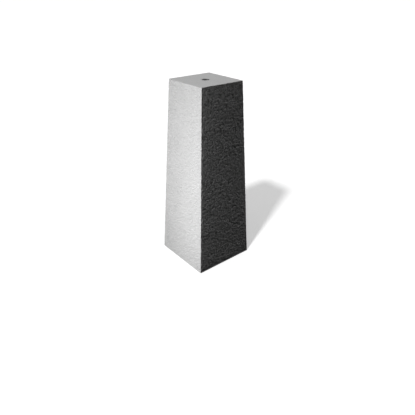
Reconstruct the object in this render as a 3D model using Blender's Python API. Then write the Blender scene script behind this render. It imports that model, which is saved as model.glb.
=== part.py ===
"""A cast concrete post base: a tapered square block that stands on its wide end, with a threaded
steel socket cast into the middle of its top to take the screw of a post support.

Metres, +Z up. The origin is the centre of the underside, and the sides face along X and Y.
"""

import math

import bmesh
import bpy

# The concrete block
HEIGHT = 0.500
BASE_WIDTH = 0.180
TOP_WIDTH = 0.130
ARRIS_WIDTH = 0.002  # the small rounding that the mould leaves on every edge
ARRIS_STEPS = 3

# The threaded socket, for an M16 screw: its bore has the thread's tapping size
BORE_RADIUS = 0.0070
BORE_DEPTH = 0.052
BORE_TIP_DEPTH = 0.004  # the cone that the drill leaves under the bore
MOUTH_RADIUS = 0.0090  # the countersink's wide end, a millimetre over the screw's own radius
WALL = 0.0020  # beside the mouth, at the rim
FLOOR = 0.003
RIM_BELOW_TOP = 0.0004
TURN_STEPS = 64

# Between the socket and the concrete cast round it
CASTING_GAP = 0.0003

# Faces that meet more gently than this are shaded as one curved surface
SMOOTH_BELOW_DEGREES = 30
MERGE_DISTANCE = 0.00001

# Surface finishes, as (colour, roughness, metallic)
CONCRETE_FINISH = ((0.40, 0.40, 0.40), 0.90, 0.0)
STEEL_FINISH = ((0.23, 0.23, 0.24), 0.45, 1.0)

SOCKET_RADIUS = MOUTH_RADIUS + WALL
SOCKET_LENGTH = BORE_DEPTH + BORE_TIP_DEPTH + FLOOR
RIM_Z = HEIGHT - RIM_BELOW_TOP
SOCKET_FOOT_Z = RIM_Z - SOCKET_LENGTH


def clear_scene():
    for obj in list(bpy.data.objects):
        bpy.data.objects.remove(obj, do_unlink=True)


def make_material(name, finish):
    colour, roughness, metallic = finish
    material = bpy.data.materials.new(name)
    material.use_nodes = True
    shader = material.node_tree.nodes["Principled BSDF"]
    shader.inputs["Base Color"].default_value = (*colour, 1.0)
    shader.inputs["Roughness"].default_value = roughness
    shader.inputs["Metallic"].default_value = metallic
    return material


def add_object(name, mesh_builder):
    """A new object of the mesh that mesh_builder makes in a BMesh."""
    mesh = bpy.data.meshes.new(name)
    shape = bmesh.new()
    mesh_builder(shape)
    shape.to_mesh(mesh)
    shape.free()
    obj = bpy.data.objects.new(name, mesh)
    bpy.context.scene.collection.objects.link(obj)
    return obj


def shade_round_faces_smooth(obj):
    obj.data.shade_smooth()
    obj.data.set_sharp_from_angle(angle=math.radians(SMOOTH_BELOW_DEGREES))


def build_tapered_block(shape):
    """A cube stretched to the height and drawn in evenly from the foot to the top."""
    bmesh.ops.create_cube(shape, size=1.0)
    for corner in shape.verts:
        at_top = corner.co.z > 0
        width = TOP_WIDTH if at_top else BASE_WIDTH
        corner.co.x *= width
        corner.co.y *= width
        corner.co.z = HEIGHT if at_top else 0.0


def build_pocket_cutter(shape):
    """The room that the socket takes up in the concrete, running out through the top."""
    foot_z = SOCKET_FOOT_Z - CASTING_GAP
    head_z = HEIGHT + SOCKET_LENGTH
    bmesh.ops.create_cone(
        shape,
        cap_ends=True,
        segments=TURN_STEPS,
        radius1=SOCKET_RADIUS + CASTING_GAP,
        radius2=SOCKET_RADIUS + CASTING_GAP,
        depth=head_z - foot_z,
    )
    bmesh.ops.translate(shape, verts=shape.verts, vec=(0.0, 0.0, (head_z + foot_z) / 2))


def build_socket_profile(shape):
    """Half of the socket's section: from the bore's tip up to the rim, then down the outer side."""
    mouth_depth = MOUTH_RADIUS - BORE_RADIUS  # a countersink at 45 degrees
    section = (
        (0.0, RIM_Z - BORE_DEPTH - BORE_TIP_DEPTH),
        (BORE_RADIUS, RIM_Z - BORE_DEPTH),
        (BORE_RADIUS, RIM_Z - mouth_depth),
        (MOUTH_RADIUS, RIM_Z),
        (SOCKET_RADIUS, RIM_Z),
        (SOCKET_RADIUS, SOCKET_FOOT_Z),
        (0.0, SOCKET_FOOT_Z),
    )
    points = [shape.verts.new((radius, 0.0, z)) for radius, z in section]
    for start, end in zip(points, points[1:]):
        shape.edges.new((start, end))


def make_concrete_body(material):
    body = add_object("concrete_body", build_tapered_block)
    body.data.materials.append(material)

    arris = body.modifiers.new("arris", "BEVEL")
    arris.width = ARRIS_WIDTH
    arris.segments = ARRIS_STEPS
    arris.limit_method = "NONE"

    cutter = add_object("pocket_cutter", build_pocket_cutter)
    cutter.hide_render = True
    cutter.display_type = "WIRE"
    pocket = body.modifiers.new("pocket", "BOOLEAN")
    pocket.operation = "DIFFERENCE"
    pocket.solver = "EXACT"
    pocket.object = cutter
    return body


def make_threaded_socket(material):
    socket = add_object("threaded_socket", build_socket_profile)
    socket.data.materials.append(material)

    turning = socket.modifiers.new("turning", "SCREW")
    turning.axis = "Z"
    turning.steps = TURN_STEPS
    turning.render_steps = TURN_STEPS
    turning.use_merge_vertices = True
    turning.merge_threshold = MERGE_DISTANCE
    return socket


def main():
    clear_scene()
    body = make_concrete_body(make_material("cast_concrete", CONCRETE_FINISH))
    socket = make_threaded_socket(make_material("socket_steel", STEEL_FINISH))
    shade_round_faces_smooth(body)
    shade_round_faces_smooth(socket)


main()
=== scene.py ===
"""The looks of a cast concrete post base: a tapered square block with a threaded steel socket in its top.

The block is one Geometry Nodes tree. A gridded cube is drawn in towards its top, its edges are
rounded, its top is wrapped round the socket's pocket, and its skin is pressed in by the mould's
pebbled lining. The socket is turned from its section, with a real screw thread down its bore.
Metres, +Z up. The light side is the block's -X side and the shaded one is its -Y side.
"""

import math

import bpy
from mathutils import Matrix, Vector


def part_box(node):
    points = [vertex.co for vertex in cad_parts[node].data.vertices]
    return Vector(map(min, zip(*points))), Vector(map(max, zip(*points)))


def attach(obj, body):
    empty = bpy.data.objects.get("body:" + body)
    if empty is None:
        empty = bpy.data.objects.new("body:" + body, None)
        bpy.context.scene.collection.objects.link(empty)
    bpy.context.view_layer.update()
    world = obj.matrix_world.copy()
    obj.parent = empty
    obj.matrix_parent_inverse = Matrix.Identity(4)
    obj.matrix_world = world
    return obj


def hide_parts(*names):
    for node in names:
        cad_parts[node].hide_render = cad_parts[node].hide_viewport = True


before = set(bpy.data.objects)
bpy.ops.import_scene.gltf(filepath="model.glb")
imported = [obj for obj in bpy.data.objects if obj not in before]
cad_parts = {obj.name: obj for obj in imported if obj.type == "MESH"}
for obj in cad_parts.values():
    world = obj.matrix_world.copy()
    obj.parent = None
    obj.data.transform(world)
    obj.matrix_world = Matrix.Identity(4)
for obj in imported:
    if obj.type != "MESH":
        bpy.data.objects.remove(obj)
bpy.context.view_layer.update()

# The block, on the frame's concrete body
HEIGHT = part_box("concrete_body")[1].z
BASE_WIDTH = 0.180
TOP_WIDTH = 0.130
ARRIS_RADIUS = 0.0008
ARRIS_WEAR_PATCH = 1 / 45  # how much of the arris goes with each patch that differs in wear
ARRIS_LEAST_WORN = 0.45  # of the radius, where the arris is sharpest
CELLS_ACROSS = 80
CELLS_UP = 232
EDGE_CELLS = 4  # grid cells packed into the rounding of each edge
EDGE_SHARE_ACROSS = 0.018  # of the width that those cells take up
EDGE_SHARE_UP = 0.0055  # of the height
ON_TOP = 0.4999  # on the unit cube, above all its grid lines but the top's

# The pocket that the socket sits in
SOCKET_LOW, SOCKET_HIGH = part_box("threaded_socket")
SOCKET_RADIUS = SOCKET_HIGH.x
RIM_Z = SOCKET_HIGH.z
CASTING_GAP = 0.0003
POCKET_RADIUS = SOCKET_RADIUS + CASTING_GAP
POCKET_DEPTH = HEIGHT - SOCKET_LOW.z + CASTING_GAP
POCKET_LIP = 0.0004
POCKET_RING = 7  # the grid's square ring that becomes the pocket's mouth
WRAP_RINGS = 7  # rings over which the round mouth goes back to the square grid
CALM_FROM = POCKET_RADIUS + 0.001  # from the axis, where the top's relief begins
CALM_TO = POCKET_RADIUS + 0.008  # and where it is full

# The mould's pebbled skin
SKIN_DEPTH = 0.0078  # on the sides, for the whole height of the noise
SKIN_PEBBLE = 0.0036
SKIN_SQUAT = 1.1  # pebbles are this much wider than tall
SKIN_CREST = 0.62  # the share of the noise's height that the hollows are measured down from
SKIN_LEAST = 0.03  # the least hollow, at which the crests are cut flat
SKIN_LIFT = 0.09  # how far the sides come back out, to lie about as far out as the plain wall
LIFT_HEIGHT = 0.015  # from the foot, which stays the widest, up to where they are out in full
TILT_UPRIGHT = 0.25  # the normal's Z up to which a face counts as a side
TILT_LEVEL = 0.8  # and from which it counts as top or underside
TOP_DEPTH = 0.0003  # the skin's depth on the top, given in the same way
UNDERSIDE_DEPTH = 0.0016  # and on the underside
SEED = 11.0
ARRIS_REACH = 0.004  # how far an edge's wear and its calmer skin spread
ARRIS_CALM = 0.65  # how much shallower the skin is on the edge itself

# The M16 thread
THREAD_PITCH = 0.002
THREAD_DEPTH = 0.0010
THREAD_ROOT = 0.125  # of the pitch, flat
THREAD_FLANK = 0.3125  # of the pitch, sloping
THREAD_CREST = 0.25  # of the pitch, flat
BORE_RADIUS = 0.0070
BORE_DEPTH = 0.052
BORE_TIP_DEPTH = 0.004
MOUTH_RADIUS = 0.0090
RIM_BREAK = 0.0002  # the rounding of the rim's outer edge
MOUTH_BREAK = 0.0003  # and how wide the edge of its mouth is eased
MOUTH_DROP = 0.0001  # and how deep
ROWS_PER_PITCH = 8
TURN_STEPS = 64
SHARP_DEGREES = 50.0

# Where a noise's values lie, and where the masks made from them start and are full
NOISE_LOW = 0.3
NOISE_MIDDLE = 0.5
NOISE_HIGH = 0.7
FLECK_EDGE = (1.15, 0.75)  # in sizes of the fleck
HOLE_EDGE = (1.0, 0.55)  # in radii of the hole
WEAR_EDGE = (0.45, 0.95)
FILM_BARE = -0.15
FILM_WHOLE = 1.15
FILM_EDGE = 0.08

# A Mix node's sockets for vectors, by their number
MIX_FIRST = 4
MIX_SECOND = 5
MIX_RESULT = 1

# The concrete's finish: each shade is the share by which it makes the grey paler or darker
CONCRETE_GREY = 0.42
CLOUD_SIZE = 0.045
CLOUD_STRENGTH = 0.06
GRAIN_SIZE = 0.0038
GRAIN_DEPTH = 0.0042
GRAIN_SHADE = 0.025
GRAIN_ON_TOP = 0.06  # of its depth on the sides
SAND_SIZE = 0.0007
SAND_DEPTH = 0.00012
SAND_SHADE = 0.04
HOLLOW_SHADE_FULL_AT = 0.45  # where the painted shade in a hollow is full, as a share of the noise's height
# Painted light and painted shade on the pebbled skin: the crests painted a little paler, the hollows
# painted darker
CREST_PAINTED_LIGHT = 1.02
HOLLOW_PAINTED_SHADE = 0.96
FLECK_SPACING = 0.0022
FLECK_SHARE = 0.07  # of the cells that hold a dark one, and as many a light one
FLECK_DARK_SHADE = 0.16
FLECK_LIGHT_SHADE = 0.10
WEAR_PATCH = 0.006
WEAR_SHADE = 0.05
WEAR_POLISH = 0.08  # off the roughness
FILM_COVER = 0.42
FILM_PATCH = 0.03
FILM_SHADE = 0.02
HOLE_SPACING = 0.012
HOLE_RADIUS = 0.0011
HOLE_SHARE = 0.45  # of the cells that hold one
# Painted shade: how much darker the air holes are painted, as if their floors lay in shadow
HOLE_PAINTED_SHADE = 0.35
HOLE_DEPTH = 0.0009
CONCRETE_ROUGHNESS = (0.84, 0.94)
CONCRETE_GLOSS = 0.3

# The steel's finish
STEEL_GREY = 0.05
STEEL_BRIGHT = 0.30
STEEL_ROUGHNESS = (0.42, 0.58)
STEEL_CLOUD_SIZE = 0.006
STEEL_CLOUD_STRENGTH = 0.35
CREST_WEAR_PATCH = 0.003
TOOL_MARK_PITCH = 0.00025
TOOL_MARK_DEPTH = 0.000006

# The cement that dried on the steel
CAKE_PATCH = 0.0025
CAKE_GRAIN_SIZE = 0.0006
CAKE_ROUGHNESS = 0.92
CAKE_DEPTH = 0.0002
CAKE_SHADES = (0.94, 1.02)  # of the concrete's grey
CAKE_FROM = MOUTH_RADIUS + 0.0001  # from the axis, where the rim begins to be covered
CAKE_TO = MOUTH_RADIUS + 0.0008  # and where it is
CAKE_ON_RIM = 0.85
CAKE_IN_BORE = 0.05
CAKE_AT_MOUTH = 0.12
CAKE_REACH = 0.002  # down the bore

# The studio: where each sun's light comes from, each panel's place and aim, and how strong they are
SUN_DEGREES = 6.0
SIDE_SUN_FROM = (-1.0, 0.25, 0.60)
SIDE_SUN_STRENGTH = 2.70
SKIMMING_SUN_FROM = (0.6, -0.14, 0.8)
SKIMMING_SUN_STRENGTH = 0.96
TOP_SUN_DEGREES = 8.0
TOP_SUN_FROM = (-0.06, 0.17, 0.98)
TOP_SUN_STRENGTH = 0.77
SIDE_STRIP_PLACE = (-0.36, -0.045, 0.30)
SIDE_STRIP_TOWARDS = (0.0, -0.045, 0.30)
SIDE_STRIP_SIZE = (0.06, 0.6)
SIDE_STRIP_WATTS = 1.08
EDGE_STRIP_PLACE = (-0.2557, -0.1026, 0.31)
EDGE_STRIP_TOWARDS = (0.0, -0.07, 0.31)
EDGE_STRIP_SIZE = (0.03, 0.6)
EDGE_STRIP_WATTS = 0.31
BACK_PANEL_PLACE = (1.3, 0.75, 0.24)
BACK_PANEL_TOWARDS = (0.0, 0.0, 0.24)
BACK_PANEL_SIZE = (0.7, 0.45)
BACK_PANEL_WATTS = 20.0
ROOM_GLOW = 0.0142
BACKDROP_GLOW = 1.0
FLOOR_SIDE = 60.0
FLOOR_GREY = 0.8
FLOOR_GLOW = 0.32
FLOOR_SUN_FROM = (-0.887, -0.326, 1.0)
FLOOR_SUN_STRENGTH = 2.45
FLOOR_SUN_DEGREES = 5.0
FLOOR_FILL_FROM = (-0.4, -0.2, 1.0)
FLOOR_FILL_STRENGTH = 1.23
FLOOR_FILL_DEGREES = 80.0

# The picture
IMAGE_SIDE = 415
SENSOR_WIDTH = 36.0
CAMERA_PLACE = (-0.6447, -0.7894, 0.7048)
CAMERA_HEADING = 39.588  # degrees from +Y towards +X
CAMERA_PITCH = 28.983  # degrees down
CAMERA_ROLL = 0.285  # degrees anticlockwise, as it was held
CAMERA_FOCAL_PIXELS = 403.0


class NodeMaker:
    """Adds nodes to one tree. An input is given as a plain value or as another node's output."""

    def __init__(self, tree):
        self.tree = tree

    def add(self, kind, inputs=None, **settings):
        node = self.tree.nodes.new(kind)
        for name, value in settings.items():
            setattr(node, name, value)
        for key, value in (inputs or {}).items():
            self.feed(node.inputs[key], value)
        return node

    def feed(self, socket, value):
        if isinstance(value, bpy.types.NodeSocket):
            self.tree.links.new(value, socket)
        else:
            socket.default_value = value

    def math(self, operation, *values, clamp=False):
        node = self.add("ShaderNodeMath", operation=operation, use_clamp=clamp)
        for socket, value in zip(node.inputs, values):
            self.feed(socket, value)
        return node.outputs[0]

    def vector(self, operation, *values):
        node = self.add("ShaderNodeVectorMath", operation=operation)
        for socket, value in zip(node.inputs, values):
            self.feed(socket, value)
        return node.outputs["Value" if operation == "LENGTH" else "Vector"]

    def scaled(self, vector, factor):
        inputs = {"Vector": vector, "Scale": factor}
        return self.add("ShaderNodeVectorMath", inputs, operation="SCALE").outputs[0]

    def split(self, vector):
        return self.add("ShaderNodeSeparateXYZ", {"Vector": vector}).outputs

    def join(self, x, y, z):
        return self.add("ShaderNodeCombineXYZ", {"X": x, "Y": y, "Z": z}).outputs[0]

    def smooth_step(self, value, start, end, low=0.0, high=1.0):
        ends = {"Value": value, "From Min": start, "From Max": end, "To Min": low, "To Max": high}
        return self.add("ShaderNodeMapRange", ends, interpolation_type="SMOOTHSTEP").outputs[0]

    def mix(self, factor, first, second):
        node = self.add("ShaderNodeMix", {"Factor": factor}, data_type="VECTOR")
        self.feed(node.inputs[MIX_FIRST], first)
        self.feed(node.inputs[MIX_SECOND], second)
        return node.outputs[MIX_RESULT]

    def stretched(self, value, low, high):
        """A value drawn out evenly from 0...1 to low...high, and past them where it is past 0...1."""
        ends = {"Value": value, "To Min": low, "To Max": high}
        return self.add("ShaderNodeMapRange", ends, clamp=False).outputs[0]

    def spread(self, noise, low=-1.0, high=1.0):
        """A noise with its usual range of values brought to low...high."""
        return self.smooth_step(noise, NOISE_LOW, NOISE_HIGH, low, high)

    def tinted(self, tone, mask, shade):
        """A tone made paler where the mask is 1, or darker where the shade is negative."""
        return self.math("MULTIPLY", tone, self.math("ADD", 1.0, self.math("MULTIPLY", mask, shade)))

    def place(self, group, inputs):
        """A shader node group placed in this tree with its own values, and its outputs."""
        node = self.add("ShaderNodeGroup", node_tree=group)
        for name, value in inputs.items():
            self.feed(node.inputs[name], value)
        return node.outputs

    def attribute(self, name):
        return self.add("ShaderNodeAttribute", attribute_name=name).outputs["Fac"]

    def per_metre(self, size):
        return self.math("DIVIDE", 1.0, size)

    def noise(self, where, size, detail, roughness, distortion=0.0):
        """A cloudy noise round 0.5, with clouds of the given size in metres."""
        settings = {"Vector": where, "Scale": self.per_metre(size), "Detail": detail}
        settings.update({"Roughness": roughness, "Distortion": distortion})
        return self.add("ShaderNodeTexNoise", settings).outputs[0]


def add_sockets(tree, in_out, sockets):
    """Gives a tree its named inputs or outputs, from {name: (kind, default)}."""
    for name, (kind, default) in sockets.items():
        socket = tree.interface.new_socket(name=name, in_out=in_out, socket_type=f"NodeSocket{kind}")
        if default is not None:
            socket.default_value = default


def make_block_tree():
    """The block: grid, taper, rounded edges, socket pocket and mould skin, worked out from its inputs."""
    tree = bpy.data.node_groups.new("cast_block", "GeometryNodeTree")
    sizes = {
        "Base Width": ("Float", BASE_WIDTH),
        "Top Width": ("Float", TOP_WIDTH),
        "Height": ("Float", HEIGHT),
        "Arris Radius": ("Float", ARRIS_RADIUS),
        "Edge Reach": ("Float", ARRIS_REACH),
        "Pocket Radius": ("Float", POCKET_RADIUS),
        "Pocket Depth": ("Float", POCKET_DEPTH),
        "Skin Depth": ("Float", SKIN_DEPTH),
        "Skin Pebble": ("Float", SKIN_PEBBLE),
        "Skin Squat": ("Float", SKIN_SQUAT),
        "Skin Lift": ("Float", SKIN_LIFT),
        "Top Depth": ("Float", TOP_DEPTH),
        "Underside Depth": ("Float", UNDERSIDE_DEPTH),
        "Seed": ("Float", SEED),
        "Material": ("Material", None),
    }
    add_sockets(tree, "INPUT", sizes)
    add_sockets(tree, "OUTPUT", {"Block": ("Geometry", None)})
    make = NodeMaker(tree)
    given = make.add("NodeGroupInput").outputs
    cells = {"Vertices X": CELLS_ACROSS + 1, "Vertices Y": CELLS_ACROSS + 1, "Vertices Z": CELLS_UP + 1}
    cube = make.add("GeometryNodeMeshCube", cells)
    unit = make.split(make.add("GeometryNodeInputPosition").outputs[0])
    shape, near_edge = place_on_block(make, unit, given)
    block = keep_attribute(make, cube.outputs["Mesh"], "arris", near_edge)
    block = make.add("GeometryNodeSetPosition", {"Geometry": block, "Position": shape}).outputs[0]
    skin, hollow, side = press_skin(make, given)
    block = keep_attribute(make, block, "hollow", hollow)
    block = keep_attribute(make, block, "side", side)
    block = make.add("GeometryNodeSetPosition", {"Geometry": block, "Offset": skin}).outputs[0]
    block = make.add("GeometryNodeSetShadeSmooth", {"Geometry": block}).outputs[0]
    block = make.add("GeometryNodeRealizeInstances", {"Geometry": block}).outputs[0]
    finished = {"Geometry": block, "Material": given["Material"]}
    block = make.add("GeometryNodeSetMaterial", finished).outputs[0]
    make.add("NodeGroupOutput", {"Block": block})
    return tree


def keep_attribute(make, geometry, name, value):
    """Keeps a value on the mesh's points, for the material to read by name."""
    node = make.add("GeometryNodeStoreNamedAttribute", data_type="FLOAT", domain="POINT")
    make.feed(node.inputs["Geometry"], geometry)
    make.feed(node.inputs["Name"], name)
    make.feed(node.inputs["Value"], value)
    return node.outputs[0]


def pack_edges(make, coordinate, cells, share):
    """Moves the outermost grid lines of a unit cube's side into the given share of it."""
    inner_slope = (0.5 - share) / (0.5 - EDGE_CELLS / cells)
    outer_slope = share * cells / EDGE_CELLS
    away = make.math("ABSOLUTE", coordinate)
    inner = make.math("MULTIPLY", away, inner_slope)
    outer = make.math("SUBTRACT", 0.5, make.math("MULTIPLY", make.math("SUBTRACT", 0.5, away), outer_slope))
    return make.math("MULTIPLY", make.math("SIGN", coordinate), make.math("MINIMUM", inner, outer))


def place_on_block(make, unit, given):
    """Where each point of the unit cube's grid lies on the block."""
    across_x = pack_edges(make, unit["X"], CELLS_ACROSS, EDGE_SHARE_ACROSS)
    across_y = pack_edges(make, unit["Y"], CELLS_ACROSS, EDGE_SHARE_ACROSS)
    up = make.math("ADD", pack_edges(make, unit["Z"], CELLS_UP, EDGE_SHARE_UP), 0.5)
    taper = make.math("SUBTRACT", given["Top Width"], given["Base Width"])
    width = make.math("ADD", given["Base Width"], make.math("MULTIPLY", taper, up))
    square = make.join(
        make.math("MULTIPLY", across_x, width),
        make.math("MULTIPLY", across_y, width),
        make.math("MULTIPLY", up, given["Height"]),
    )
    rounded = round_arrises(make, square, width, given)
    wrapped = wrap_pocket(make, unit, rounded, given)
    on_top = make.math("GREATER_THAN", unit["Z"], ON_TOP)
    return make.mix(on_top, rounded, wrapped), nearness_to_edge(make, square, width, given)


def nearness_to_edge(make, square, width, given):
    """1 on the nearest edge of the block, falling to 0 at the reach of its wear."""
    place = make.split(square)
    half = make.math("MULTIPLY", width, 0.5)
    gap_x = make.math("SUBTRACT", half, make.math("ABSOLUTE", place["X"]))
    gap_y = make.math("SUBTRACT", half, make.math("ABSOLUTE", place["Y"]))
    gap_z = make.math("MINIMUM", place["Z"], make.math("SUBTRACT", given["Height"], place["Z"]))
    smaller = make.math("MINIMUM", gap_x, gap_y)
    larger = make.math("MAXIMUM", gap_x, gap_y)
    second = make.math("MAXIMUM", smaller, make.math("MINIMUM", larger, gap_z))
    return make.smooth_step(second, 0.0, given["Edge Reach"], 1.0, 0.0)


def round_arrises(make, square, width, given):
    """Pulls the points near each edge onto a rounding that the years have worn a little unevenly."""
    worn = make.noise(square, ARRIS_WEAR_PATCH, detail=3.0, roughness=0.6)
    radius = make.math("MULTIPLY", given["Arris Radius"], make.math("ADD", ARRIS_LEAST_WORN, worn))
    half = make.math("SUBTRACT", make.math("MULTIPLY", width, 0.5), radius)
    high = make.join(half, half, make.math("SUBTRACT", given["Height"], radius))
    minus_half = make.math("MULTIPLY", half, -1.0)
    low = make.join(minus_half, minus_half, radius)
    core = make.vector("MAXIMUM", make.vector("MINIMUM", square, high), low)
    outwards = make.vector("NORMALIZE", make.vector("SUBTRACT", square, core))
    return make.vector("ADD", core, make.scaled(outwards, radius))


def wrap_pocket(make, unit, flat, given):
    """Turns the square rings at the top's middle into the pocket's round mouth, wall and floor."""
    ring = make.math("MAXIMUM", make.math("ABSOLUTE", unit["X"]), make.math("ABSOLUTE", unit["Y"]))
    ring = make.math("MULTIPLY", ring, float(CELLS_ACROSS))
    past_mouth = make.math("SUBTRACT", ring, float(POCKET_RING))
    cell = make.math("DIVIDE", given["Top Width"], float(CELLS_ACROSS))
    lip = make.math("MULTIPLY", make.math("ADD", past_mouth, 0.0, clamp=True), POCKET_LIP)
    beyond = make.math("MULTIPLY", make.math("MAXIMUM", make.math("SUBTRACT", past_mouth, 1.0), 0.0), cell)
    outside = make.math("ADD", given["Pocket Radius"], make.math("ADD", lip, beyond))
    inwards = make.math("DIVIDE", ring, POCKET_RING - 1.0)
    floor_radius = make.math("MULTIPLY", given["Pocket Radius"], inwards)
    radius = make.math("MINIMUM", floor_radius, outside)
    direction = make.vector("NORMALIZE", make.join(unit["X"], unit["Y"], 0.0))
    lip_drop = make.math("MULTIPLY", make.math("SUBTRACT", 1.0, past_mouth, clamp=True), POCKET_LIP)
    wall = make.math("SUBTRACT", given["Pocket Depth"], POCKET_LIP)
    wall_drop = make.math("MULTIPLY", make.math("MULTIPLY", past_mouth, -1.0, clamp=True), wall)
    depth = make.math("ADD", lip_drop, wall_drop)
    mouth = make.scaled(direction, radius)
    mouth = make.vector("ADD", mouth, make.join(0.0, 0.0, make.math("SUBTRACT", given["Height"], depth)))
    back_to_square = make.smooth_step(past_mouth, 1.0, float(WRAP_RINGS))
    return make.mix(back_to_square, mouth, flat)


def press_skin(make, given):
    """How far each point moves along its normal, how deep in a hollow it is, and if it is on a side."""
    where = make.add("GeometryNodeInputPosition").outputs[0]
    squat = make.vector("MULTIPLY", where, make.join(1.0, 1.0, given["Skin Squat"]))
    seeded = make.vector("ADD", squat, make.join(given["Seed"], 0.0, 0.0))
    normal = make.add("GeometryNodeInputNormal").outputs[0]
    tilt = make.split(normal)["Z"]
    pebbles = make.noise(seeded, given["Skin Pebble"], detail=1.0, roughness=0.5, distortion=0.3)
    hollow = make.math("MAXIMUM", make.math("SUBTRACT", SKIN_CREST, pebbles), SKIN_LEAST)
    upward = make.smooth_step(tilt, TILT_UPRIGHT, TILT_LEVEL)
    downward = make.smooth_step(tilt, -TILT_UPRIGHT, -TILT_LEVEL)
    side = make.math("SUBTRACT", make.math("SUBTRACT", 1.0, upward), downward)
    depth = make.math("MULTIPLY", side, given["Skin Depth"])
    depth = make.math("ADD", depth, make.math("MULTIPLY", upward, given["Top Depth"]))
    depth = make.math("ADD", depth, make.math("MULTIPLY", downward, given["Underside Depth"]))
    arris = make.add("GeometryNodeInputNamedAttribute", {"Name": "arris"}, data_type="FLOAT").outputs[0]
    calm = make.math("SUBTRACT", 1.0, make.math("MULTIPLY", arris, ARRIS_CALM))
    depth = make.math("MULTIPLY", depth, calm)
    place = make.split(where)
    from_axis = make.vector("LENGTH", make.join(place["X"], place["Y"], 0.0))
    clear_of_socket = make.smooth_step(from_axis, CALM_FROM, CALM_TO)
    depth = make.math("MULTIPLY", depth, clear_of_socket)
    above_foot = make.math("MULTIPLY", side, make.smooth_step(place["Z"], 0.0, LIFT_HEIGHT))
    clear_of_edges = make.math("MULTIPLY", above_foot, make.math("SUBTRACT", 1.0, arris))
    out = make.math("SUBTRACT", make.math("MULTIPLY", given["Skin Lift"], clear_of_edges), hollow)
    offset = make.scaled(normal, make.math("MULTIPLY", out, depth))
    return offset, hollow, side


def plain_mesh_of(name, tree, inputs):
    """A new object holding the mesh that a Geometry Nodes tree makes from the inputs, by name."""
    host = bpy.data.objects.new(name, bpy.data.meshes.new(name))
    bpy.context.scene.collection.objects.link(host)
    modifier = host.modifiers.new(tree.name, "NODES")
    modifier.node_group = tree
    for item in tree.interface.items_tree:
        if item.in_out == "INPUT" and item.name in inputs:
            modifier[item.identifier] = inputs[item.name]
    host.update_tag()
    evaluated = host.evaluated_get(bpy.context.evaluated_depsgraph_get())
    mesh = bpy.data.meshes.new_from_object(evaluated)
    host.modifiers.remove(modifier)
    host.data = mesh
    mesh.name = name
    return host


def make_block(material):
    return plain_mesh_of("cast_block", make_block_tree(), {"Material": material})


def thread_height(turn):
    """How far the thread stands in from its root, from 0 to 1, at a share of one pitch."""
    share = turn % 1.0
    if share < THREAD_ROOT:
        return 0.0
    if share < THREAD_ROOT + THREAD_FLANK:
        return (share - THREAD_ROOT) / THREAD_FLANK
    if share < THREAD_ROOT + THREAD_FLANK + THREAD_CREST:
        return 1.0
    return (1.0 - share) / (1.0 - THREAD_ROOT - THREAD_FLANK - THREAD_CREST)


def socket_outside():
    """The socket's section from the edge of its mouth over the rim and down to the foot, as (radius, z)."""
    return [
        (MOUTH_RADIUS, RIM_Z - MOUTH_DROP),
        (MOUTH_RADIUS + MOUTH_BREAK, RIM_Z),
        (SOCKET_RADIUS - RIM_BREAK, RIM_Z),
        (SOCKET_RADIUS, RIM_Z - RIM_BREAK),
        (SOCKET_RADIUS, SOCKET_LOW.z),
    ]


def bore_heights():
    """The height of each row up the threaded bore, from the drill's cone to the countersink."""
    foot = RIM_Z - BORE_DEPTH
    top = RIM_Z - (MOUTH_RADIUS - BORE_RADIUS)
    rows = round((top - foot) * ROWS_PER_PITCH / THREAD_PITCH)
    return [foot + (top - foot) * row / rows for row in range(rows + 1)]


def turned(radius, step, z):
    """The point that a radius reaches at one of the steps round the axis."""
    angle = step / TURN_STEPS * math.tau
    return radius * math.cos(angle), radius * math.sin(angle), z


def ring(row):
    """Each point of a turned row with the one after it, as their numbers in the mesh."""
    first = row * TURN_STEPS
    return [(first + step, first + (step + 1) % TURN_STEPS) for step in range(TURN_STEPS)]


def make_socket(material):
    """The socket turned from its section. Down the bore, each row's radius follows the thread's helix."""
    outside = socket_outside()
    heights = bore_heights()
    verts = [turned(radius, step, z) for radius, z in outside for step in range(TURN_STEPS)]
    crests = [0.0] * len(verts)
    for z in heights:
        thread = THREAD_DEPTH * min(1.0, (heights[-1] - z) / THREAD_PITCH)
        for step in range(TURN_STEPS):
            crest = thread_height(z / THREAD_PITCH - step / TURN_STEPS)
            verts.append(turned(BORE_RADIUS + thread * (1.0 - crest), step, z))
            crests.append(crest)
    foot_row = len(outside) - 1
    tip_row = len(outside)
    mouth_row = len(outside) + len(heights) - 1
    bands = [(row + 1, row) for row in range(mouth_row) if row != foot_row]
    bands.append((0, mouth_row))
    faces = []
    for lower, upper in bands:
        for (below, below_next), (above, above_next) in zip(ring(lower), ring(upper)):
            faces.append((below, below_next, above_next, above))
    foot_centre = len(verts)
    tip = foot_centre + 1
    verts += [(0.0, 0.0, SOCKET_LOW.z), (0.0, 0.0, heights[0] - BORE_TIP_DEPTH)]
    crests += [0.0, 0.0]
    faces += [(foot_centre, after, point) for point, after in ring(foot_row)]
    faces += [(tip, point, after) for point, after in ring(tip_row)]
    mesh = bpy.data.meshes.new("screw_socket")
    mesh.from_pydata(verts, [], faces)
    mesh.attributes.new("crest", "FLOAT", "POINT").data.foreach_set("value", crests)
    mesh.materials.append(material)
    mesh.shade_smooth()
    mesh.set_sharp_from_angle(angle=math.radians(SHARP_DEGREES))
    socket = bpy.data.objects.new("screw_socket", mesh)
    bpy.context.scene.collection.objects.link(socket)
    return socket


def start_group(name, inputs, outputs):
    """A shader node group with its named inputs and outputs, each {name: (kind, default)}."""
    group = bpy.data.node_groups.new(name, "ShaderNodeTree")
    add_sockets(group, "INPUT", inputs)
    add_sockets(group, "OUTPUT", outputs)
    make = NodeMaker(group)
    return group, make, make.add("NodeGroupInput").outputs


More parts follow.
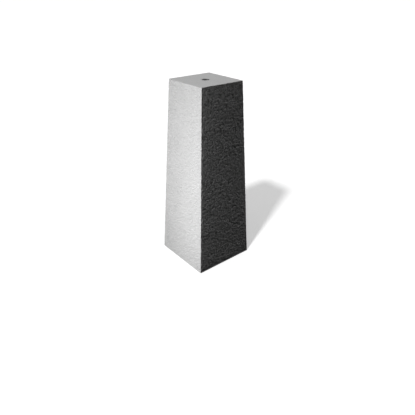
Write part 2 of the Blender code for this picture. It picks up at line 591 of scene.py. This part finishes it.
def make_grain_group():
    """Sand grain under the cement skin, from 0 in its hollows to 1 on its grains."""
    inputs = {"Vector": ("Vector", None), "Grain Size": ("Float", 0.003), "Squat": ("Float", 1.0)}
    group, make, given = start_group("sand_grain", inputs, {"Height": ("Float", None)})
    squat = make.vector("MULTIPLY", given["Vector"], make.join(1.0, 1.0, given["Squat"]))
    grain = make.noise(squat, given["Grain Size"], detail=3.0, roughness=0.55)
    make.add("NodeGroupOutput", {"Height": grain})
    return group


def make_cloud_group():
    """Broad tone clouds: a factor round 1 that a colour is multiplied by."""
    inputs = {"Vector": ("Vector", None), "Cloud Size": ("Float", 0.05), "Strength": ("Float", 0.05)}
    group, make, given = start_group("tone_clouds", inputs, {"Factor": ("Float", None)})
    clouds = make.noise(given["Vector"], given["Cloud Size"], detail=3.0, roughness=0.6)
    swing = make.stretched(clouds, -1.0, 1.0)
    make.add("NodeGroupOutput", {"Factor": make.tinted(1.0, swing, given["Strength"])})
    return group


def make_fleck_group():
    """Single grains that show as dark or light flecks of uneven size, one in some of the cells."""
    inputs = {
        "Vector": ("Vector", None),
        "Spacing": ("Float", 0.002),
        "Share": ("Float", 0.1),
        "Least Size": ("Float", 0.12),
        "Size Spread": ("Float", 0.34),
        "Raggedness": ("Float", 3.0),
    }
    outputs = {"Dark": ("Float", None), "Light": ("Float", None)}
    group, make, given = start_group("grain_flecks", inputs, outputs)
    finer = make.math("DIVIDE", given["Raggedness"], given["Spacing"])
    ragged = make.add("ShaderNodeTexNoise", {"Vector": given["Vector"], "Scale": finer, "Detail": 2.0})
    shift = make.vector("SUBTRACT", ragged.outputs["Color"], (NOISE_MIDDLE, NOISE_MIDDLE, NOISE_MIDDLE))
    moved = make.vector("ADD", given["Vector"], make.scaled(shift, given["Spacing"]))
    scale = make.per_metre(given["Spacing"])
    cells = make.add("ShaderNodeTexVoronoi", {"Vector": moved, "Scale": scale, "Randomness": 1.0})
    pick = make.split(cells.outputs["Color"])
    size = make.math("ADD", given["Least Size"], make.math("MULTIPLY", pick["Y"], given["Size Spread"]))
    spot = make.smooth_step(make.math("DIVIDE", cells.outputs["Distance"], size), *FLECK_EDGE)
    dark = make.math("LESS_THAN", pick["X"], given["Share"])
    light = make.math("GREATER_THAN", pick["X"], make.math("SUBTRACT", 1.0, given["Share"]))
    found = {"Dark": make.math("MULTIPLY", dark, spot), "Light": make.math("MULTIPLY", light, spot)}
    make.add("NodeGroupOutput", found)
    return group


def make_hole_group():
    """Air holes: round pits of uneven size, one in some of the cells, from 0 outside to 1 at the floor."""
    inputs = {
        "Vector": ("Vector", None),
        "Spacing": ("Float", 0.01),
        "Radius": ("Float", 0.001),
        "Least Size": ("Float", 0.35),
        "Share": ("Float", 0.3),
    }
    group, make, given = start_group("air_holes", inputs, {"Depth": ("Float", None)})
    settings = {"Vector": given["Vector"], "Scale": make.per_metre(given["Spacing"]), "Randomness": 1.0}
    cells = make.add("ShaderNodeTexVoronoi", settings)
    pick = make.split(cells.outputs["Color"])
    distance = make.math("MULTIPLY", cells.outputs["Distance"], given["Spacing"])
    radius = make.math("MULTIPLY", given["Radius"], make.math("ADD", given["Least Size"], pick["Y"]))
    depth = make.smooth_step(make.math("DIVIDE", distance, radius), *HOLE_EDGE)
    found = make.math("MULTIPLY", depth, make.math("LESS_THAN", pick["X"], given["Share"]))
    make.add("NodeGroupOutput", {"Depth": found})
    return group


def make_wear_group():
    """Wear along an edge: the edge mask, broken up into patches."""
    inputs = {"Edge": ("Float", 0.0), "Vector": ("Vector", None), "Patch Size": ("Float", 0.01)}
    group, make, given = start_group("edge_wear", inputs, {"Mask": ("Float", None)})
    patches = make.noise(given["Vector"], given["Patch Size"], detail=4.0, roughness=0.65)
    reach = make.math("ADD", given["Edge"], make.math("SUBTRACT", patches, NOISE_MIDDLE))
    make.add("NodeGroupOutput", {"Mask": make.smooth_step(reach, *WEAR_EDGE)})
    return group


def make_film_group():
    """A film of dried cement over what lies under it, whole where Cover is 1 and none where it is 0."""
    inputs = {"Cover": ("Float", 0.5), "Vector": ("Vector", None), "Patch Size": ("Float", 0.004)}
    group, make, given = start_group("cement_film", inputs, {"Mask": ("Float", None)})
    patches = make.noise(given["Vector"], given["Patch Size"], detail=4.0, roughness=0.6)
    past = make.math("SUBTRACT", make.stretched(given["Cover"], FILM_BARE, FILM_WHOLE), patches)
    make.add("NodeGroupOutput", {"Mask": make.smooth_step(past, -FILM_EDGE, FILM_EDGE)})
    return group


def start_material(name):
    """A material with only its shader and output, and the maker of its nodes."""
    material = bpy.data.materials.new(name)
    material.use_nodes = True
    make = NodeMaker(material.node_tree)
    where = make.add("ShaderNodeTexCoord").outputs["Object"]
    return material, make, material.node_tree.nodes["Principled BSDF"], where


def finish_placer(make, groups, where):
    """A function that places one of the finishes in a material and gives the named output."""
    def place(group, output, inputs):
        return make.place(groups[group], {"Vector": where, **inputs})[output]
    return place


def grey(make, tone):
    return make.join(tone, tone, tone)


def make_concrete(groups):
    """Grey cast concrete: pebbled sides, a smooth top, air holes, sand flecks and paler worn edges, with
    painted shade in the air holes and hollows and a little painted light on the crests.
    """
    material, make, shader, where = start_material("cast_concrete")
    shader.inputs["Specular IOR Level"].default_value = CONCRETE_GLOSS
    place = finish_placer(make, groups, where)
    grain = place("grain", "Height", {"Grain Size": GRAIN_SIZE, "Squat": SKIN_SQUAT})
    sand = place("grain", "Height", {"Grain Size": SAND_SIZE, "Squat": 1.0})
    clouds = place("cloud", "Factor", {"Cloud Size": CLOUD_SIZE, "Strength": CLOUD_STRENGTH})
    holes = place("hole", "Depth", {"Spacing": HOLE_SPACING, "Radius": HOLE_RADIUS, "Share": HOLE_SHARE})
    wear = place("wear", "Mask", {"Edge": make.attribute("arris"), "Patch Size": WEAR_PATCH})
    film = place("film", "Mask", {"Cover": FILM_COVER, "Patch Size": FILM_PATCH})
    fleck = make.place(groups["fleck"], {"Vector": where, "Spacing": FLECK_SPACING, "Share": FLECK_SHARE})

    tone = make.tinted(clouds, make.spread(sand), SAND_SHADE)
    tone = make.tinted(tone, make.spread(grain), GRAIN_SHADE)
    # Painted shade in the skin's hollows, and a little painted light on its crests
    painted_hollow_shade = make.smooth_step(make.attribute("hollow"), 0.0, HOLLOW_SHADE_FULL_AT, CREST_PAINTED_LIGHT, HOLLOW_PAINTED_SHADE)
    tone = make.math("MULTIPLY", tone, painted_hollow_shade)
    tone = make.tinted(tone, fleck["Dark"], -FLECK_DARK_SHADE)
    tone = make.tinted(tone, fleck["Light"], FLECK_LIGHT_SHADE)
    tone = make.tinted(tone, wear, WEAR_SHADE)
    tone = make.tinted(tone, film, FILM_SHADE)
    # Painted shade in the air holes
    tone = make.tinted(tone, holes, -HOLE_PAINTED_SHADE)
    make.feed(shader.inputs["Base Color"], grey(make, make.math("MULTIPLY", tone, CONCRETE_GREY)))

    rough = make.spread(sand, *CONCRETE_ROUGHNESS)
    rough = make.math("SUBTRACT", rough, make.math("MULTIPLY", wear, WEAR_POLISH))
    make.feed(shader.inputs["Roughness"], rough)

    on_side = make.smooth_step(make.attribute("side"), 0.0, 1.0, GRAIN_ON_TOP, 1.0)
    lump = make.math("MULTIPLY", make.math("MULTIPLY", grain, on_side), GRAIN_DEPTH)
    height = make.math("ADD", lump, make.math("MULTIPLY", sand, SAND_DEPTH))
    height = make.math("SUBTRACT", height, make.math("MULTIPLY", holes, HOLE_DEPTH))
    bump = make.add("ShaderNodeBump", {"Height": height, "Distance": 1.0, "Strength": 1.0})
    make.feed(shader.inputs["Normal"], bump.outputs[0])
    return material


def make_steel(groups):
    """Dark oiled steel with tool marks, thread crests rubbed bright, and dried cement over its rim."""
    material, make, shader, where = start_material("socket_steel")
    place = finish_placer(make, groups, where)
    axes = make.split(where)
    from_axis = make.vector("LENGTH", make.join(axes["X"], axes["Y"], 0.0))
    wear = place("wear", "Mask", {"Edge": make.attribute("crest"), "Patch Size": CREST_WEAR_PATCH})
    clouds = place("cloud", "Factor", {"Cloud Size": STEEL_CLOUD_SIZE, "Strength": STEEL_CLOUD_STRENGTH})
    grain = place("grain", "Height", {"Grain Size": CAKE_GRAIN_SIZE, "Squat": 1.0})
    on_rim = make.smooth_step(from_axis, CAKE_FROM, CAKE_TO, 0.0, CAKE_ON_RIM)
    in_bore = make.smooth_step(axes["Z"], RIM_Z - CAKE_REACH, RIM_Z, CAKE_IN_BORE, CAKE_AT_MOUTH)
    film = place("film", "Mask", {"Cover": make.math("ADD", on_rim, in_bore), "Patch Size": CAKE_PATCH})

    bare = make.math("MULTIPLY", clouds, STEEL_GREY)
    bare = make.smooth_step(wear, 0.0, 1.0, bare, STEEL_BRIGHT)
    cement = make.math("MULTIPLY", make.spread(grain, *CAKE_SHADES), CONCRETE_GREY)
    make.feed(shader.inputs["Base Color"], make.mix(film, grey(make, bare), grey(make, cement)))
    make.feed(shader.inputs["Metallic"], make.math("SUBTRACT", 1.0, film))
    oiled = make.spread(grain, *STEEL_ROUGHNESS)
    make.feed(shader.inputs["Roughness"], make.smooth_step(film, 0.0, 1.0, oiled, CAKE_ROUGHNESS))

    cut = make.math("MULTIPLY", make.math("ADD", from_axis, axes["Z"]), math.tau / TOOL_MARK_PITCH)
    marks = make.math("MULTIPLY", make.math("SINE", cut), TOOL_MARK_DEPTH)
    marks = make.math("MULTIPLY", marks, make.math("SUBTRACT", 1.0, film))
    cake = make.math("MULTIPLY", film, make.math("MULTIPLY", grain, CAKE_DEPTH))
    height = make.math("ADD", marks, cake)
    bump = make.add("ShaderNodeBump", {"Height": height, "Distance": 1.0, "Strength": 1.0})
    make.feed(shader.inputs["Normal"], bump.outputs[0])
    return material


def make_floor():
    mesh = bpy.data.meshes.new("floor")
    half = FLOOR_SIDE / 2
    corners = [(-half, -half, 0), (half, -half, 0), (half, half, 0), (-half, half, 0)]
    mesh.from_pydata(corners, [], [(0, 1, 2, 3)])
    floor = bpy.data.objects.new("floor", mesh)
    bpy.context.scene.collection.objects.link(floor)
    material = bpy.data.materials.new("floor")
    material.use_nodes = True
    shader = material.node_tree.nodes["Principled BSDF"]
    shader.inputs["Base Color"].default_value = (FLOOR_GREY, FLOOR_GREY, FLOOR_GREY, 1.0)
    shader.inputs["Specular IOR Level"].default_value = 0.0
    shader.inputs["Roughness"].default_value = 1.0
    shader.inputs["Emission Color"].default_value = (1.0, 1.0, 1.0, 1.0)
    shader.inputs["Emission Strength"].default_value = FLOOR_GLOW
    mesh.materials.append(material)
    # The base neither takes light from the floor nor mirrors it
    floor.visible_diffuse = False
    floor.visible_glossy = False
    return floor


def aim(obj, place, towards):
    obj.location = place
    obj.rotation_euler = (Vector(towards) - Vector(place)).to_track_quat("-Z", "Y").to_euler()


def add_sun(name, towards_light, strength, degrees, lit):
    light = bpy.data.lights.new(name, "SUN")
    light.energy = strength
    light.angle = math.radians(degrees)
    lamp = bpy.data.objects.new(name, light)
    aim(lamp, towards_light, (0.0, 0.0, 0.0))
    place_light(lamp, lit)


def add_panel(name, place, towards, size, watts, lit):
    light = bpy.data.lights.new(name, "AREA")
    light.shape = "RECTANGLE"
    light.size = size[0]
    light.size_y = size[1]
    light.energy = watts
    lamp = bpy.data.objects.new(name, light)
    aim(lamp, place, towards)
    place_light(lamp, lit)


def place_light(lamp, lit):
    """Puts a light in the scene that reaches only the objects of the collection lit."""
    bpy.context.scene.collection.objects.link(lamp)
    lamp.light_linking.receiver_collection = lit
    lamp.visible_camera = False


def make_world():
    """Faint light all round, seen as plain white where nothing stands in the picture."""
    world = bpy.data.worlds.new("studio")
    world.use_nodes = True
    bpy.context.scene.world = world
    make = NodeMaker(world.node_tree)
    background = world.node_tree.nodes["Background"]
    seen = make.add("ShaderNodeLightPath").outputs["Is Camera Ray"]
    make.feed(background.inputs["Strength"], make.smooth_step(seen, 0.0, 1.0, ROOM_GLOW, BACKDROP_GLOW))
    background.inputs["Color"].default_value = (1.0, 1.0, 1.0, 1.0)


def make_camera():
    data = bpy.data.cameras.new("camera")
    data.sensor_width = SENSOR_WIDTH
    data.lens = SENSOR_WIDTH * CAMERA_FOCAL_PIXELS / IMAGE_SIDE
    camera = bpy.data.objects.new("camera", data)
    bpy.context.scene.collection.objects.link(camera)
    camera.location = CAMERA_PLACE
    camera.rotation_euler = (math.radians(90 - CAMERA_PITCH), 0.0, math.radians(-CAMERA_HEADING))
    camera.rotation_euler.rotate_axis("Z", math.radians(CAMERA_ROLL))
    bpy.context.scene.camera = camera


def collect(name, objects):
    collection = bpy.data.collections.new(name)
    for obj in objects:
        collection.objects.link(obj)
    return collection


make_camera()
finishes = {
    "grain": make_grain_group(),
    "cloud": make_cloud_group(),
    "fleck": make_fleck_group(),
    "hole": make_hole_group(),
    "wear": make_wear_group(),
    "film": make_film_group(),
}
block = make_block(make_concrete(finishes))
socket = make_socket(make_steel(finishes))
floor = make_floor()
the_base = collect("lit_post_base", [block, socket])
the_floor = collect("lit_floor", [floor])
make_world()
add_sun("side_sun", SIDE_SUN_FROM, SIDE_SUN_STRENGTH, SUN_DEGREES, the_base)
add_sun("skimming_sun", SKIMMING_SUN_FROM, SKIMMING_SUN_STRENGTH, SUN_DEGREES, the_base)
add_sun("top_sun", TOP_SUN_FROM, TOP_SUN_STRENGTH, TOP_SUN_DEGREES, the_base)
add_panel("side_strip", SIDE_STRIP_PLACE, SIDE_STRIP_TOWARDS, SIDE_STRIP_SIZE, SIDE_STRIP_WATTS, the_base)
add_panel("edge_strip", EDGE_STRIP_PLACE, EDGE_STRIP_TOWARDS, EDGE_STRIP_SIZE, EDGE_STRIP_WATTS, the_base)
add_panel("back_panel", BACK_PANEL_PLACE, BACK_PANEL_TOWARDS, BACK_PANEL_SIZE, BACK_PANEL_WATTS, the_base)
add_sun("floor_sun", FLOOR_SUN_FROM, FLOOR_SUN_STRENGTH, FLOOR_SUN_DEGREES, the_floor)
add_sun("floor_fill", FLOOR_FILL_FROM, FLOOR_FILL_STRENGTH, FLOOR_FILL_DEGREES, the_floor)
bpy.context.scene.view_settings.view_transform = "Standard"

stands_for = ((block, "concrete_body", "cast_concrete"), (socket, "threaded_socket", "socket_steel"))
for piece, node, finish in stands_for:
    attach(piece, "root")
    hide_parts(node)
